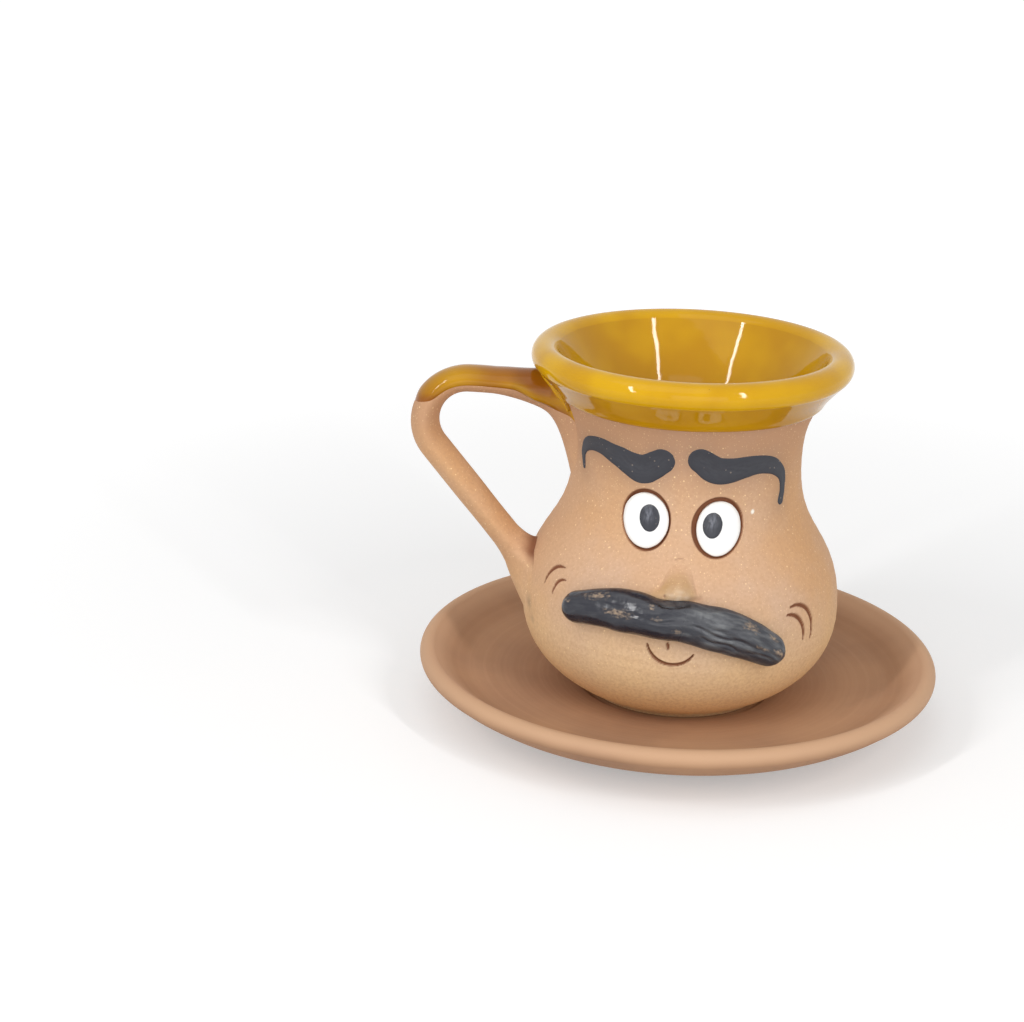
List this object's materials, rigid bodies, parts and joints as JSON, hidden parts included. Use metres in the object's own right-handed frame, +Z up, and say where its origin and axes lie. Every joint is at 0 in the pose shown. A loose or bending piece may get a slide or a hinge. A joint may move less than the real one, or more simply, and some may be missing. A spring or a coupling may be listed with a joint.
{
  "type": "coffee cup",
  "caption": "Round-bellied clay coffee cup with a glazed flared rim, a strap handle and a comic moustached face in relief, standing in the ring well of its saucer.",
  "frame": {"origin": "middle of the saucer's flat base", "axes": "+Z up along the axis of the saucer and cup; the face looks along -Y and the handle points along -X"},
  "size_m": [0.1211, 0.118, 0.0859],
  "materials": {
    "saucer_clay": "unglazed fired clay, smooth and dull",
    "cup_clay": "unglazed fired clay with fine golden flecks",
    "mustard_glaze": "glossy mustard glaze",
    "black_paint": "satin charcoal ceramic paint, rubbed on the high points",
    "white_paint": "opaque white ceramic paint"
  },
  "bodies": {
    "saucer": {"saucer": "saucer_clay"},
    "cup": {"cup_body": "cup_clay", "handle": "cup_clay", "nose": "cup_clay", "glaze": "mustard_glaze", "moustache": "black_paint", "eye_white_left": "white_paint", "eye_white_right": "white_paint", "pupil_left": "black_paint", "pupil_right": "black_paint", "brow_left": "black_paint", "brow_right": "black_paint"}
  },
  "joints": [
    {"name": "cup_lift", "type": "slide", "parent": "saucer", "child": "cup", "axis": [0, 0, 1], "range_m": [0, 0.06]}
  ]
}
